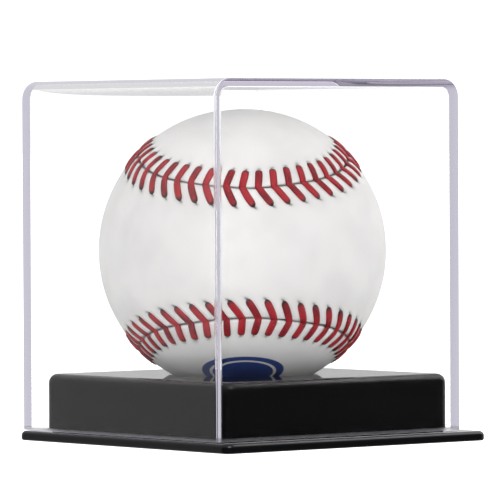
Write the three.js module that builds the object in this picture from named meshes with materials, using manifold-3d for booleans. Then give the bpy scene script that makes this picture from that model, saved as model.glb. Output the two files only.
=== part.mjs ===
// Baseball display case: a glossy black plate with a hollow riser bonded to it, a ball seated in the
// riser's round hole, and a clear five-sided cover that drops over both and rests on the plate.
// Millimetres, +Z up. The origin is the centre of the plate's underside.

import * as THREE from "three";
import { mergeVertices } from "three/addons/utils/BufferGeometryUtils.js";
import Module from "manifold-3d";

// ---- Driving dimensions -------------------------------------------------------------------------

// The ball. The case is sized round it.
const BALL_DIAMETER = 73.7;
const LEATHER_THICKNESS = 1.2;
const FINISH_WINDING_THICKNESS = 0.4;
const THIRD_WINDING_THICKNESS = 1.7;
const SECOND_WINDING_THICKNESS = 1.55;
const RUBBER_JACKET_THICKNESS = 3.2;
const RUBBER_CUP_THICKNESS = 2.8;
const RUBBER_WASHER_THICKNESS = 1.2;
const CORK_RADIUS = 10.3;
const LAYER_GAP = 0.25; // between one layer of the ball and the next
const YARN_OPENING_RADIUS = 1; // the small way in that each wound layer keeps

// The seam: how near it comes to the middle of a panel's waist, how far it swings to each side, and
// the gap between the two panels' edges.
const SEAM_WAIST_ANGLE = 0.467;
const SEAM_SWING = 0.378;
const SEAM_GAP = 0.5;
const STITCH_COUNT = 108;
const STITCH_REACH = 5.3; // from the seam line to a stitch's hole
const STITCH_LEAN = 1.4; // how far the root leads the holes along the seam
const STITCH_ROOT_HALF_WIDTH = 0.7;
const THREAD_HEIGHT = 0.5;
const THREAD_GAP = 0.15; // under the thread, to the leather
const WAIST_FACING_DEG = 233.1; // the way the front panel's waist looks, counted from +X

// The riser that holds the ball.
const RISER_HEIGHT = 15;
const RISER_WALL = 2.5;
const RISER_CORNER_RADIUS = 3;
const RISER_INNER_RADIUS = 1;
const RISER_TOP_EDGE_RADIUS = 2.4;
const RISER_SHIFT = [-0.95, 0.8]; // bonded a little off the plate's centre
const SEAT_HOLE_RADIUS = 17.2;
const SEAT_RIM_RADIUS = 2;
const RIM_SHARE_OF_WALL = 0.8; // the most of the wall that the rim may round away
const SEAT_SHIFT = [-0.65, 0.55]; // the hole's place from the riser's centre
const SEAT_GAP = 0.3; // between the ball and the hole's rounded rim

// The clear cover.
const COVER_WALL = 2;
const COVER_BALL_CLEARANCE = 1.65; // ball to each inner wall, with the two on one centre
const COVER_HEADROOM = 5.5; // ball to the inner ceiling
const COVER_BEND_RADIUS = 2.8; // inside the sheet's two bends
const COVER_EDGE_BREAK = 0.5; // polished round the outlines of the two end plates
const COVER_JOINT_FILLET = 0.4; // cement left along the joints inside
const COVER_RISER_PLAY = 1.35; // riser to each inner wall, with the two on one centre
const COVER_SIDE_GAP = 0.2; // left between riser and cover on the two sides it is pushed up to
const COVER_REST_GAP = 0.2; // under the cover's open edge

// The plate everything stands on.
const PLATE_THICKNESS = 2.5;
const PLATE_MARGIN = 3.15; // how far the plate reaches past a centred cover on each side
const PLATE_CORNER_RADIUS = 2.5;
const PLATE_TOP_EDGE_RADIUS = 1.25;
const PLATE_BOTTOM_EDGE_RADIUS = 0.6;

// How finely curves are faceted.
const CORNER_STEPS = 6;
const EDGE_STEPS = 5;
const BEND_STEPS = 16;
const EDGE_BREAK_STEPS = 3;
const HOLE_STEPS = 60;
const RIM_STEPS = 4;
const WASHER_STEPS = 30;
const OPENING_SIDES = 12;
const LEATHER_DETAIL = 5;
const INNER_DETAIL = 3;
const SEAM_CUT_STEPS = 162;
const ARC_LENGTH_DIVISIONS = 2000;
const SMALLEST_RING_RADIUS = 0.05;
const MERGE_DISTANCE = 1e-4;
const CUT_PAST = 2; // how far a cutter runs past what it cuts

// ---- The seam's line ----------------------------------------------------------------------------

// The seam on a unit ball. Its latitude swings to within SEAM_WAIST_ANGLE of each pole twice a lap,
// while its longitude goes once round and sways by SEAM_SWING.
class SeamCurve extends THREE.Curve {
  getPoint(t, target = new THREE.Vector3()) {
    const turn = 4 * Math.PI * t;
    const polar = Math.PI / 2 - (Math.PI / 2 - SEAM_WAIST_ANGLE) * Math.cos(turn);
    const longitude = turn / 2 + SEAM_SWING * Math.sin(2 * turn);
    return target.set(
      Math.sin(polar) * Math.cos(longitude),
      Math.sin(polar) * Math.sin(longitude),
      Math.cos(polar),
    );
  }
}

const seam = new SeamCurve();
seam.arcLengthDivisions = ARC_LENGTH_DIVISIONS;

// ---- Sizes and places worked out from them ------------------------------------------------------

const ballRadius = BALL_DIAMETER / 2;
const seamLength = ballRadius * seam.getLength();
const threadRadius = ballRadius + THREAD_GAP + THREAD_HEIGHT;
const coverInnerSide = BALL_DIAMETER + 2 * COVER_BALL_CLEARANCE;
const coverSide = coverInnerSide + 2 * COVER_WALL;
const riserSide = coverInnerSide - 2 * COVER_RISER_PLAY;
const plateSide = coverSide + 2 * PLATE_MARGIN;
const riserTop = PLATE_THICKNESS + RISER_HEIGHT;

// The rim can't be rounder than the riser's top is thick.
const seatRimRadius = Math.min(SEAT_RIM_RADIUS, RIM_SHARE_OF_WALL * RISER_WALL);
const seatCentre = new THREE.Vector2(...RISER_SHIFT).add(new THREE.Vector2(...SEAT_SHIFT));

// The ball rests on the rim's quarter circle, so its centre, the rim's centre and the hole's axis
// make a right-angled triangle.
const heightOnRim = (radius) =>
  riserTop -
  seatRimRadius +
  Math.sqrt((radius + seatRimRadius + SEAT_GAP) ** 2 - (SEAT_HOLE_RADIUS + seatRimRadius) ** 2);

// A wide hole lets the ball down until its lacing, which comes lowest on the local -X side, nears
// the riser. Then the ball stays up by as much as keeps the lacing off the top or the rim.
const seamDrop = Math.max(...seam.getPoints(SEAM_CUT_STEPS).map((point) => -point.x));
const lacingDrop = threadRadius * Math.cos(Math.acos(seamDrop) - STITCH_REACH / ballRadius);
const heightForLacing = Math.min(heightOnRim(threadRadius), riserTop + SEAT_GAP + lacingDrop);
const ballCentreHeight = Math.max(heightOnRim(ballRadius), heightForLacing);
const ballCentre = new THREE.Vector3(seatCentre.x, seatCentre.y, ballCentreHeight);

// The cover is pushed towards -X and +Y until the riser stops it.
const coverPush = COVER_RISER_PLAY - COVER_SIDE_GAP;
const coverCentre = new THREE.Vector2(RISER_SHIFT[0] - coverPush, RISER_SHIFT[1] + coverPush);
const coverBottom = PLATE_THICKNESS + COVER_REST_GAP;
const coverCeiling = ballCentre.z + ballRadius + COVER_HEADROOM;
const coverTop = coverCeiling + COVER_WALL;

// ---- Rings and skins ----------------------------------------------------------------------------

// One level of a rounded square, counter-clockwise seen from above.
function squareRing(side, cornerRadius, z) {
  const radius = Math.max(cornerRadius, SMALLEST_RING_RADIUS);
  const reach = side / 2 - radius;
  const corners = [
    [reach, reach],
    [-reach, reach],
    [-reach, -reach],
    [reach, -reach],
  ];
  return corners.flatMap(([x, y], corner) =>
    Array.from({ length: CORNER_STEPS + 1 }, (_, step) => {
      const angle = ((corner + step / CORNER_STEPS) * Math.PI) / 2;
      return new THREE.Vector3(x + radius * Math.cos(angle), y + radius * Math.sin(angle), z);
    }),
  );
}

// The rings of a rounded edge, from the upright wall to the flat face. A direction of 1 rounds over
// towards +Z and -1 towards -Z.
function roundedEdge(side, cornerRadius, faceZ, edgeRadius, direction) {
  return Array.from({ length: EDGE_STEPS + 1 }, (_, step) => {
    const angle = ((step / EDGE_STEPS) * Math.PI) / 2;
    const inset = edgeRadius * (1 - Math.cos(angle));
    const z = faceZ - direction * edgeRadius * (1 - Math.sin(angle));
    return squareRing(side - 2 * inset, cornerRadius - inset, z);
  });
}

// Joins rings of equal length into one closed skin. The ends are capped, or joined to each other
// when the rings make a loop.
function skin(rings, isLoop = false) {
  const count = rings[0].length;
  const points = rings.flat();
  const index = [];
  const spans = isLoop ? rings.length : rings.length - 1;
  for (let ring = 0; ring < spans; ring++) {
    const low = ring * count;
    const high = ((ring + 1) % rings.length) * count;
    for (let i = 0; i < count; i++) {
      const next = (i + 1) % count;
      index.push(low + i, low + next, high + next, low + i, high + next, high + i);
    }
  }
  if (!isLoop) {
    const middleOf = (ring) =>
      ring.reduce((sum, point) => sum.add(point), new THREE.Vector3()).divideScalar(count);
    const last = (rings.length - 1) * count;
    points.push(middleOf(rings[0]), middleOf(rings.at(-1)));
    for (let i = 0; i < count; i++) {
      const next = (i + 1) % count;
      index.push(points.length - 2, next, i, points.length - 1, last + i, last + next);
    }
  }
  return new THREE.BufferGeometry().setFromPoints(points).setIndex(index);
}

// A five-sided box with its open side down: the skin runs from the middle of the ceiling down the
// inside, round the open edge and up the outside to the middle of the top.
function openBox({ side, wall, bottom, top, cornerRadius, edgeRadius, innerRadius }) {
  const innerSide = side - 2 * wall;
  return skin([
    ...roundedEdge(innerSide, innerRadius, top - wall, innerRadius, 1).reverse(),
    squareRing(innerSide, innerRadius, bottom),
    squareRing(side, cornerRadius, bottom),
    ...roundedEdge(side, cornerRadius, top, edgeRadius, 1),
  ]);
}

// ---- Solids for cutting and joining -------------------------------------------------------------

const wasm = await Module();
wasm.setup();

function toSolid(geometry) {
  const bare = geometry.clone();
  bare.deleteAttribute("normal");
  bare.deleteAttribute("uv");
  const merged = mergeVertices(bare, MERGE_DISTANCE);
  return new wasm.Manifold(
    new wasm.Mesh({
      numProp: 3,
      vertProperties: merged.attributes.position.array,
      triVerts: new Uint32Array(merged.index.array),
    }),
  );
}

function toGeometry(solid) {
  const mesh = solid.getMesh();
  return new THREE.BufferGeometry()
    .setAttribute("position", new THREE.BufferAttribute(mesh.vertProperties, 3))
    .setIndex(new THREE.BufferAttribute(mesh.triVerts, 1));
}

function ball(radius, detail) {
  return toSolid(new THREE.IcosahedronGeometry(radius, detail));
}

// A box that fills everything a ball of this radius has above the given height.
function above(height, radius) {
  const size = 2 * (radius + CUT_PAST);
  return toSolid(new THREE.BoxGeometry(size, size, size).translate(0, 0, height + size / 2));
}

// ---- Plate and riser ----------------------------------------------------------------------------

function basePlate() {
  return skin([
    ...roundedEdge(plateSide, PLATE_CORNER_RADIUS, 0, PLATE_BOTTOM_EDGE_RADIUS, -1).reverse(),
    ...roundedEdge(plateSide, PLATE_CORNER_RADIUS, PLATE_THICKNESS, PLATE_TOP_EDGE_RADIUS, 1),
  ]);
}

// What the seat hole takes out of the riser's top: a bore that flares into a quarter-round rim.
function seatCutter() {
  const rimCentre = SEAT_HOLE_RADIUS + seatRimRadius;
  const rim = Array.from({ length: RIM_STEPS + 1 }, (_, step) => {
    const angle = ((step / RIM_STEPS) * Math.PI) / 2;
    return new THREE.Vector2(
      rimCentre - seatRimRadius * Math.cos(angle),
      riserTop - seatRimRadius * (1 - Math.sin(angle)),
    );
  });
  const below = riserTop - RISER_WALL - CUT_PAST;
  const profile = [
    new THREE.Vector2(0, below),
    new THREE.Vector2(SEAT_HOLE_RADIUS, below),
    ...rim,
    new THREE.Vector2(rimCentre, riserTop + CUT_PAST),
    new THREE.Vector2(0, riserTop + CUT_PAST),
  ];
  return toSolid(new THREE.LatheGeometry(profile, HOLE_STEPS).rotateX(Math.PI / 2));
}

function riser() {
  const box = openBox({
    side: riserSide,
    wall: RISER_WALL,
    bottom: PLATE_THICKNESS,
    top: riserTop,
    cornerRadius: RISER_CORNER_RADIUS,
    edgeRadius: RISER_TOP_EDGE_RADIUS,
    innerRadius: RISER_INNER_RADIUS,
  });
  return toGeometry(toSolid(box).subtract(seatCutter().translate([...SEAT_SHIFT, 0])));
}

// ---- Cover --------------------------------------------------------------------------------------

// A block along Y, centred on it, whose two upper edges are bent round.
function bentBlock({ width, length, bottom, top, bendRadius, edgeBreak }) {
  const bend = width / 2 - bendRadius;
  const section = new THREE.Shape()
    .moveTo(-width / 2, bottom)
    .lineTo(width / 2, bottom)
    .absarc(bend, top - bendRadius, bendRadius, 0, Math.PI / 2)
    .absarc(-bend, top - bendRadius, bendRadius, Math.PI / 2, Math.PI)
    .closePath();
  const block = new THREE.ExtrudeGeometry(section, {
    depth: length - 2 * edgeBreak,
    curveSegments: BEND_STEPS,
    bevelThickness: edgeBreak,
    bevelSize: edgeBreak,
    bevelOffset: -edgeBreak,
    bevelSegments: EDGE_BREAK_STEPS,
  });
  return toSolid(block.translate(0, 0, edgeBreak - length / 2).rotateX(Math.PI / 2));
}

// One sheet bent into two sides and the top, with an end plate bonded to each end.
function clearCover() {
  const outside = bentBlock({
    width: coverSide,
    length: coverSide,
    bottom: coverBottom,
    top: coverTop,
    bendRadius: COVER_BEND_RADIUS + COVER_WALL,
    edgeBreak: COVER_EDGE_BREAK,
  });
  const inside = bentBlock({
    width: coverInnerSide,
    length: coverInnerSide,
    bottom: coverBottom - CUT_PAST - COVER_JOINT_FILLET,
    top: coverCeiling,
    bendRadius: COVER_BEND_RADIUS,
    edgeBreak: COVER_JOINT_FILLET,
  });
  return toGeometry(outside.subtract(inside));
}

// ---- Ball ---------------------------------------------------------------------------------------

// A point on the ball at a distance along the seam, a distance to its side, and a radius.
function seamPoint(along, aside, radius) {
  const share = THREE.MathUtils.euclideanModulo(along / seamLength, 1);
  const out = seam.getPointAt(share);
  const side = new THREE.Vector3().crossVectors(out, seam.getTangentAt(share)).normalize();
  const angle = aside / ballRadius;
  return out.multiplyScalar(Math.cos(angle)).addScaledVector(side, Math.sin(angle)).multiplyScalar(radius);
}

// The thin wall along the whole seam that parts the two leather panels.
function seamCutter() {
  const low = ballRadius - LEATHER_THICKNESS - CUT_PAST;
  const high = ballRadius + CUT_PAST;
  const half = SEAM_GAP / 2;
  const rings = Array.from({ length: SEAM_CUT_STEPS }, (_, step) => {
    const along = (step / SEAM_CUT_STEPS) * seamLength;
    return [
      seamPoint(along, -half, low),
      seamPoint(along, half, low),
      seamPoint(along, half, high),
      seamPoint(along, -half, high),
    ];
  });
  return toSolid(skin(rings, true));
}

// The cover's two interlocking panels. The first holds the waist round the local +Z pole.
function leatherPanels() {
  const shell = ball(ballRadius, LEATHER_DETAIL).subtract(
    ball(ballRadius - LEATHER_THICKNESS, LEATHER_DETAIL),
  );
  const panels = shell.subtract(seamCutter()).decompose();
  const middleZ = (panel) => panel.boundingBox().max[2] + panel.boundingBox().min[2];
  return panels.sort((a, b) => middleZ(b) - middleZ(a)).map(toGeometry);
}

// The lacing as one band with a pair of pointed stitches at every step: its half width goes from the
// root at the seam line to the holes and back, and the root leads the holes.
function seamThread() {
  const pitch = seamLength / STITCH_COUNT;
  const low = ballRadius + THREAD_GAP;
  const high = threadRadius;
  const rings = Array.from({ length: 2 * STITCH_COUNT }, (_, step) => {
    const isTip = step % 2 === 1;
    const root = (step / 2) * pitch;
    const reach = isTip ? STITCH_REACH : STITCH_ROOT_HALF_WIDTH;
    const edge = isTip ? root - STITCH_LEAN : root;
    return [
      seamPoint(edge, -reach, low),
      seamPoint(root, 0, low),
      seamPoint(edge, reach, low),
      seamPoint(edge, reach, high),
      seamPoint(root, 0, high),
      seamPoint(edge, -reach, high),
    ];
  });
  return skin(rings, true);
}

// A hollow ball with one small round opening towards -X, where its yarn or rubber was closed.
function hollowBall(outer, inner) {
  const opening = new THREE.CylinderGeometry(
    YARN_OPENING_RADIUS,
    YARN_OPENING_RADIUS,
    outer + CUT_PAST,
    OPENING_SIDES,
  );
  opening.rotateZ(Math.PI / 2).translate(-(outer + CUT_PAST) / 2, 0, 0);
  return toGeometry(
    ball(outer, INNER_DETAIL).subtract(ball(inner, INNER_DETAIL)).subtract(toSolid(opening)),
  );
}

// The ball's layers, from the leather inwards and from the cork outwards. The first winding takes up
// what is left between the two.
function ballLayers() {
  const finishOuter = ballRadius - LEATHER_THICKNESS - LAYER_GAP;
  const finishInner = finishOuter - FINISH_WINDING_THICKNESS;
  const thirdOuter = finishInner - LAYER_GAP;
  const thirdInner = thirdOuter - THIRD_WINDING_THICKNESS;
  const secondOuter = thirdInner - LAYER_GAP;
  const secondInner = secondOuter - SECOND_WINDING_THICKNESS;
  const firstOuter = secondInner - LAYER_GAP;
  const cupInner = CORK_RADIUS + LAYER_GAP;
  const cupOuter = cupInner + RUBBER_CUP_THICKNESS;
  const jacketInner = cupOuter + LAYER_GAP;
  const jacketOuter = jacketInner + RUBBER_JACKET_THICKNESS;
  const firstInner = jacketOuter + LAYER_GAP;

  const cupStart = RUBBER_WASHER_THICKNESS / 2 + LAYER_GAP;
  const cup = ball(cupOuter, INNER_DETAIL)
    .subtract(ball(cupInner, INNER_DETAIL))
    .intersect(above(cupStart, cupOuter));
  const washer = skin(
    Array.from({ length: WASHER_STEPS }, (_, step) => {
      const angle = (step / WASHER_STEPS) * 2 * Math.PI;
      const corner = (radius, z) =>
        new THREE.Vector3(radius * Math.cos(angle), radius * Math.sin(angle), z);
      const half = RUBBER_WASHER_THICKNESS / 2;
      return [
        corner(cupInner, -half),
        corner(cupInner, half),
        corner(cupOuter, half),
        corner(cupOuter, -half),
      ];
    }),
    true,
  );
  return {
    cork_centre: toGeometry(ball(CORK_RADIUS, INNER_DETAIL)),
    rubber_cup_upper: toGeometry(cup),
    rubber_cup_lower: toGeometry(cup.rotate([180, 0, 0])),
    rubber_washer: washer,
    rubber_jacket: hollowBall(jacketOuter, jacketInner),
    first_winding: hollowBall(firstOuter, firstInner),
    second_winding: hollowBall(secondOuter, secondInner),
    third_winding: hollowBall(thirdOuter, thirdInner),
    finish_winding: hollowBall(finishOuter, finishInner),
  };
}

// ---- Materials and assembly ---------------------------------------------------------------------

const glossBlack = { color: 0x141416, roughness: 0.08, metalness: 0 };
const clear = { color: 0xf2f4f7, roughness: 0.03, metalness: 0, transparent: true, opacity: 0.3 };
const leather = { color: 0xf4f3ef, roughness: 0.55, metalness: 0 };
const redThread = { color: 0xb3202c, roughness: 0.6, metalness: 0 };
const cork = { color: 0xb98b5a, roughness: 0.9, metalness: 0 };
const blackRubber = { color: 0x1c1c1d, roughness: 0.8, metalness: 0 };
const redRubber = { color: 0x9c3b30, roughness: 0.75, metalness: 0 };
const greyWool = { color: 0x8d8c88, roughness: 1, metalness: 0 };
const whiteYarn = { color: 0xe6e2d6, roughness: 1, metalness: 0 };

function piece(name, geometry, finish) {
  const mesh = new THREE.Mesh(geometry, new THREE.MeshStandardMaterial(finish));
  mesh.name = name;
  return mesh;
}

const displayCase = new THREE.Group();

displayCase.add(piece("base_plate", basePlate(), glossBlack));

const riserMesh = piece("riser", riser(), glossBlack);
riserMesh.position.set(...RISER_SHIFT, 0);
displayCase.add(riserMesh);

const coverMesh = piece("clear_cover", clearCover(), clear);
coverMesh.position.set(coverCentre.x, coverCentre.y, 0);
displayCase.add(coverMesh);

// The ball's local +Z runs through the front waist and looks sideways; its local +X points up.
const ballGroup = new THREE.Group();
const facing = THREE.MathUtils.degToRad(WAIST_FACING_DEG);
const waistWay = new THREE.Vector3(Math.cos(facing), Math.sin(facing), 0);
const up = new THREE.Vector3(0, 0, 1);
ballGroup.position.copy(ballCentre);
ballGroup.quaternion.setFromRotationMatrix(
  new THREE.Matrix4().makeBasis(up, new THREE.Vector3().crossVectors(waistWay, up), waistWay),
);
displayCase.add(ballGroup);

const layerFinish = {
  cork_centre: cork,
  rubber_cup_upper: blackRubber,
  rubber_cup_lower: blackRubber,
  rubber_washer: redRubber,
  rubber_jacket: redRubber,
  first_winding: greyWool,
  second_winding: whiteYarn,
  third_winding: greyWool,
  finish_winding: whiteYarn,
};
for (const [name, geometry] of Object.entries(ballLayers())) {
  ballGroup.add(piece(name, geometry, layerFinish[name]));
}
const [frontPanel, rearPanel] = leatherPanels();
ballGroup.add(piece("leather_panel_a", frontPanel, leather));
ballGroup.add(piece("leather_panel_b", rearPanel, leather));
ballGroup.add(piece("seam_thread", seamThread(), redThread));

export default displayCase;
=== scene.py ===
"""Baseball display case: gloss black plate and riser, clear cover, and the ball they hold.

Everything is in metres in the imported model's own frame, +Z up.
"""

import math

import bmesh
import bpy
import numpy as np
from mathutils import Matrix, Vector


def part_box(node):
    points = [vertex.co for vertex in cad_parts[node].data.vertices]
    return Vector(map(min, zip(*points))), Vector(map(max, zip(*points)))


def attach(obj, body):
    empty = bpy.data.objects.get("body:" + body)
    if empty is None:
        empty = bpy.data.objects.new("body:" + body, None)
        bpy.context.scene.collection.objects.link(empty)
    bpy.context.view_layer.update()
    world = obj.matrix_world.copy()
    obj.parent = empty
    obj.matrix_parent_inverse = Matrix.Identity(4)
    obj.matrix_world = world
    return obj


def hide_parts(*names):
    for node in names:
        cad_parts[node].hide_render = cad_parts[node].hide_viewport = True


bl_info = {
    "name": "Baseball Display Case",
    "version": (1, 0, 0),
    "blender": (4, 5, 0),
    "location": "View3D > Sidebar > Display Case",
    "description": "Builds the plate, riser, clear cover and stitched ball of a display case",
    "category": "Add Mesh",
}

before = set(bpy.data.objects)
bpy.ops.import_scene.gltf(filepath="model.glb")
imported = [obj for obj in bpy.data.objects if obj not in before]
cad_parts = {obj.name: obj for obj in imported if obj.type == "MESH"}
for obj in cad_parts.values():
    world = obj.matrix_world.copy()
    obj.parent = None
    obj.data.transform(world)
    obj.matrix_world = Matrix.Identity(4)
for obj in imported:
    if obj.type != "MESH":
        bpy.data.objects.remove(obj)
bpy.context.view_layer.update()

MM = 0.001
TAU = 2 * math.pi

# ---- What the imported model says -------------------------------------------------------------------


def span(*nodes):
    """Middle and size of the box that holds these nodes."""
    boxes = [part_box(name) for name in nodes]
    low = np.min([b[0] for b in boxes], axis=0)
    high = np.max([b[1] for b in boxes], axis=0)
    return (low + high) / 2, high - low


PLATE_MIDDLE, PLATE_SIZE = span("base_plate")
RISER_MIDDLE, RISER_SIZE = span("riser")
COVER_MIDDLE, COVER_SIZE = span("clear_cover")
BALL_MIDDLE, BALL_SIZE = span("leather_panel_a", "leather_panel_b")

# The ball's own axes at rest: up through the crowns of the rear panel, left along the seams, and out
# through the front panel's waist.
FACING = math.radians(233.1)
BALL_OUT = np.array([math.cos(FACING), math.sin(FACING), 0.0])
BALL_UP = np.array([0.0, 0.0, 1.0])
BALL_LEFT = np.cross(BALL_OUT, BALL_UP)
BALL_AXES = np.array([BALL_UP, BALL_LEFT, BALL_OUT])

# The printed oval: the bearing it is looked at along, how far down it faces, and its half width and
# half height.
STAMP_BEARING = math.radians(39.364)
STAMP_TILT = math.radians(58)
STAMP_REACH = (10 * MM, 7.5 * MM)


# ---- Settings -------------------------------------------------------------------------------------


def length(name, description, default):
    """A length in metres that the sidebar shows in the scene's unit."""
    return bpy.props.FloatProperty(
        name=name, description=description, default=default, min=0, subtype="DISTANCE", unit="LENGTH"
    )


def linear(code):
    """The linear colour of an sRGB hex value such as B3202C."""
    srgb = np.array([int(code[i : i + 2], 16) for i in (0, 2, 4)]) / 255
    low, high = srgb / 12.92, ((srgb + 0.055) / 1.055) ** 2.4
    return tuple(np.where(srgb <= 0.04045, low, high)) + (1.0,)


def colour(name, description, code):
    """A colour setting whose default is an sRGB hex value."""
    return bpy.props.FloatVectorProperty(
        name=name, description=description, default=linear(code), size=4, min=0, max=1, subtype="COLOR"
    )


class CASE_PG_base(bpy.types.PropertyGroup):
    """Plate and riser."""

    plate_corner: length("Plate corner", "Radius of the plate's upright corners", 2.5 * MM)
    plate_top_edge: length("Plate top edge", "Radius of the plate's rounded top edge", 1.25 * MM)
    plate_bottom_edge: length("Plate bottom edge", "Radius of the plate's lower edge", 0.6 * MM)
    riser_wall: length("Riser wall", "Thickness of the riser's walls and top", 2.5 * MM)
    riser_corner: length("Riser corner", "Radius of the riser's upright corners", 3.0 * MM)
    riser_inner: length("Riser inner corner", "Radius inside the riser's hollow", 1.0 * MM)
    riser_top_edge: length("Riser top edge", "Radius of the riser's rounded top edge", 2.4 * MM)
    seat_radius: length("Seat radius", "Radius of the round hole that the ball sits in", 17.2 * MM)
    seat_rim: length("Seat rim", "Radius of the rounding round the seat hole", 2.0 * MM)
    edge_break: length("Edge break", "Radius left on the edges that were only deburred", 0.25 * MM)
    black: colour("Black", "Colour of the gloss black acrylic", "0B0B0D")


class CASE_PG_cover(bpy.types.PropertyGroup):
    """Clear cover."""

    wall: length("Wall", "Thickness of the bent sheet and of the two end plates", 2.0 * MM)
    bend: length("Bend", "Radius inside the sheet's two bends", 2.8 * MM)
    edge_break: length("Edge break", "Width of the flame-polished edges", 0.5 * MM)
    fillet: length("Joint fillet", "Radius of the cement left along the joints inside", 0.4 * MM)
    sawn: length("Sawn height", "How far up the walls the rubbed-down foot reaches", 0.7 * MM)
    tint: colour("Tint", "Colour that a long way through the acrylic takes on", "E2DFE6")
    density: bpy.props.FloatProperty(
        name="Density", description="How strongly the acrylic absorbs, per metre", default=36.0, min=0
    )
    # Colour of the painted glow that the acrylic gives off at its edges, in place of light gathered along
    # the sheet.
    painted_edge_glow: colour("Edge light", "Light that the sheet gathers and shows at its edges", "85848B")


class CASE_PG_ball(bpy.types.PropertyGroup):
    """Leather and stitches."""

    waist: bpy.props.FloatProperty(
        name="Waist angle", description="From a panel's middle to the seam at its waist",
        default=0.467, subtype="ANGLE", unit="ROTATION",
    )
    swing: bpy.props.FloatProperty(
        name="Seam swing", description="How far the seam sways to each side",
        default=0.378, subtype="ANGLE", unit="ROTATION",
    )
    leather: length("Leather", "Thickness of the cowhide", 1.2 * MM)
    seam_gap: length("Seam gap", "Gap left between the two panels' edges", 0.3 * MM)
    ridge: length("Ridge", "How far the leather rises beside the seam", 0.22 * MM)
    groove: length("Groove", "How deep the panels' edges turn in at the seam", 0.35 * MM)
    pucker: length("Pucker", "How far a stitch pulls the leather down", 0.16 * MM)
    stitches: bpy.props.IntProperty(
        name="Stitches", description="Pairs of stitches round the whole seam", default=96, min=4
    )
    stitch_phase: bpy.props.FloatProperty(
        name="Stitch phase", description="Where the first stitch starts, as a share of the pitch",
        default=0.5,
    )
    stitch_reach: length("Stitch reach", "From the seam to a stitch's hole", 5.4 * MM)
    stitch_width: length("Stitch width", "Width of a stitch at its middle", 1.9 * MM)
    stitch_height: length("Stitch height", "Thickness of the two waxed strands", 0.62 * MM)
    lean_front: length("Front lean", "How far the root leads the hole on the front panel", 3.0 * MM)
    lean_rear: length("Rear lean", "How far the root leads the hole on the rear panel", 1.0 * MM)
    white: colour("Leather white", "Colour of the tanned leather", "F4F3F1")
    red: colour("Thread red", "Colour of the waxed thread", "B3202C")
    stamp: colour("Stamp ink", "Colour of the printed oval", "2B468C")


# ---- Nodes and meshes -----------------------------------------------------------------------------


def add(tree, kind, settings=None, inputs=None):
    """Adds one node. settings are its own properties; inputs are numbers, colours or sockets to link."""
    made = tree.nodes.new(kind)
    for name, value in (settings or {}).items():
        setattr(made, name, value)
    for name, value in (inputs or {}).items():
        if isinstance(value, bpy.types.NodeSocket):
            tree.links.new(value, made.inputs[name])
        else:
            made.inputs[name].default_value = value
    return made


def maths(tree, operation, *values):
    """The result of one sum or comparison of numbers or sockets."""
    return add(tree, "ShaderNodeMath", {"operation": operation}, dict(enumerate(values))).outputs[0]


def new_material(name):
    """An empty node material: its tree and output node."""
    material = bpy.data.materials.new(name)
    material.use_nodes = True
    material.node_tree.nodes.clear()
    return material, material.node_tree, add(material.node_tree, "ShaderNodeOutputMaterial")


def ramp(tree, factor, *stops):
    """A colour ramp through (place, colour) stops."""
    made = add(tree, "ShaderNodeValToRGB", inputs={"Fac": factor})
    points = made.color_ramp.elements
    while len(points) < len(stops):
        points.new(0.5)
    for point, (place, value) in zip(points, stops):
        point.position, point.color = place, value
    return made.outputs["Color"]


def grey(value):
    """The same number in every channel."""
    return (value, value, value, 1.0)


def make_piece(name, body, points, faces, material, replaces, normals=None, layers=None, uv=None):
    """Puts points and lists of faces into a mesh that rides on a body and stands for CAD nodes.

    normals are the surface's own, one for each point; layers are numbers for each point, by name;
    uv is a flat position in metres for each point.
    """
    mesh = bpy.data.meshes.new(name)
    mesh.from_pydata(points.tolist(), [], [face for group in faces for face in group.tolist()])
    mesh.shade_smooth()
    if normals is not None:
        mesh.normals_split_custom_set_from_vertices(normals.tolist())
    for layer, values in (layers or {}).items():
        mesh.attributes.new(layer, "FLOAT", "POINT").data.foreach_set("value", values.astype(np.float32))
    if uv is not None:
        corner = np.empty(len(mesh.loops), np.int32)
        mesh.loops.foreach_get("vertex_index", corner)
        mesh.uv_layers.new(name="Strand").uv.foreach_set("vector", uv[corner].astype(np.float32).ravel())
    mesh.materials.append(material)
    piece = bpy.data.objects.new(name, mesh)
    bpy.context.scene.collection.objects.link(piece)
    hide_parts(*replaces)
    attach(piece, body)
    return piece


def skin(count, rings, loop=False):
    """Quads that join rings of count points each, in order; a loop also joins the last to the first."""
    ring = np.arange(rings if loop else rings - 1)[:, None] * count
    here, there = np.arange(count), (np.arange(count) + 1) % count
    after = (ring + count) % (rings * count)
    return np.stack([ring + here, ring + there, after + there, after + here], axis=-1).reshape(-1, 4)


# ---- Rounded squares ------------------------------------------------------------------------------


def outline(core, side_steps, corner_steps=16):
    """A square of half width core, and at each of its points the way out.

    A rounded square is this outline pushed out by its corner radius. Each side's points lie at the
    tangents of evenly spaced angles, and each corner keeps one place while its way turns a quarter.
    """
    turn = np.linspace(-1, 1, side_steps + 1)[1:-1] * math.pi / 4
    sweep = np.linspace(0, math.pi / 2, corner_steps + 1)
    place = np.concatenate([np.c_[np.ones(turn.size), np.tan(turn)], np.ones((sweep.size, 2))]) * core
    way = np.concatenate([np.tile([1.0, 0.0], (turn.size, 1)), np.c_[np.cos(sweep), np.sin(sweep)]])
    quarter = [
        np.array([[math.cos(a), math.sin(a)], [-math.sin(a), math.cos(a)]]) for a in np.arange(4) * TAU / 4
    ]
    return np.concatenate([place @ q for q in quarter]), np.concatenate([way @ q for q in quarter])


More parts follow.
